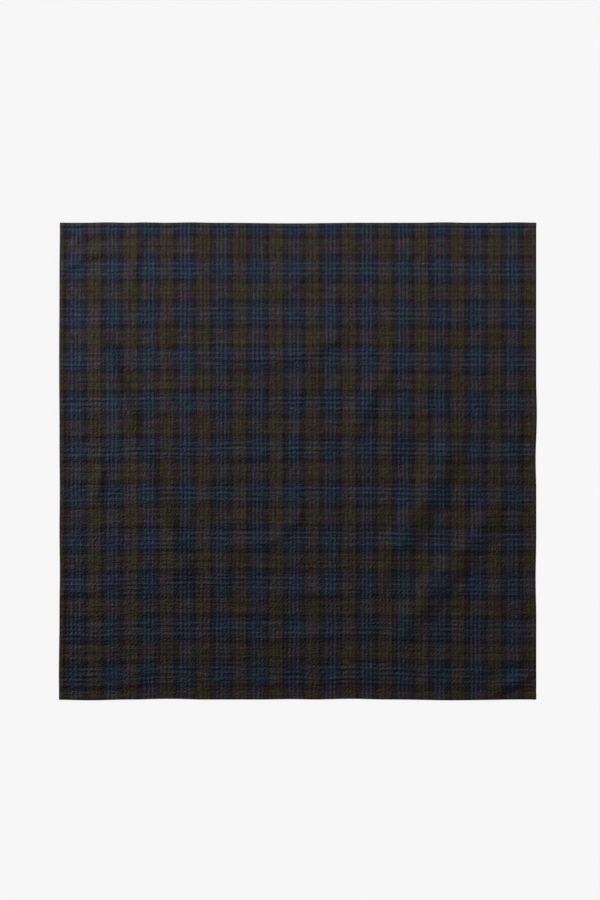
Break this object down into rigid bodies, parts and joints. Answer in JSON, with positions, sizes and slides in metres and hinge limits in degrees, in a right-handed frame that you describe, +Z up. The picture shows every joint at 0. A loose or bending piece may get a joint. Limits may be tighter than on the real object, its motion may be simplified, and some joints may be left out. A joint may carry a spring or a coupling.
{
  "type": "square bandana",
  "caption": "Square cotton bandana laid out flat in one layer, with a narrow turned hem all round, a fine crinkle, soft folds and a dark woven check.",
  "frame": {"origin": "middle of the underside, on the surface that the cloth lies on", "axes": "+Z up off the surface, +X along the lower edge to the right, +Y towards the upper edge"},
  "size_m": [0.6014, 0.6014, 0.0044],
  "materials": {
    "check_cotton": "matt crinkled yarn-dyed cotton in a navy, plum and olive check"
  },
  "bodies": {
    "root": {"bandana_cloth": "check_cotton"}
  },
  "joints": []
}
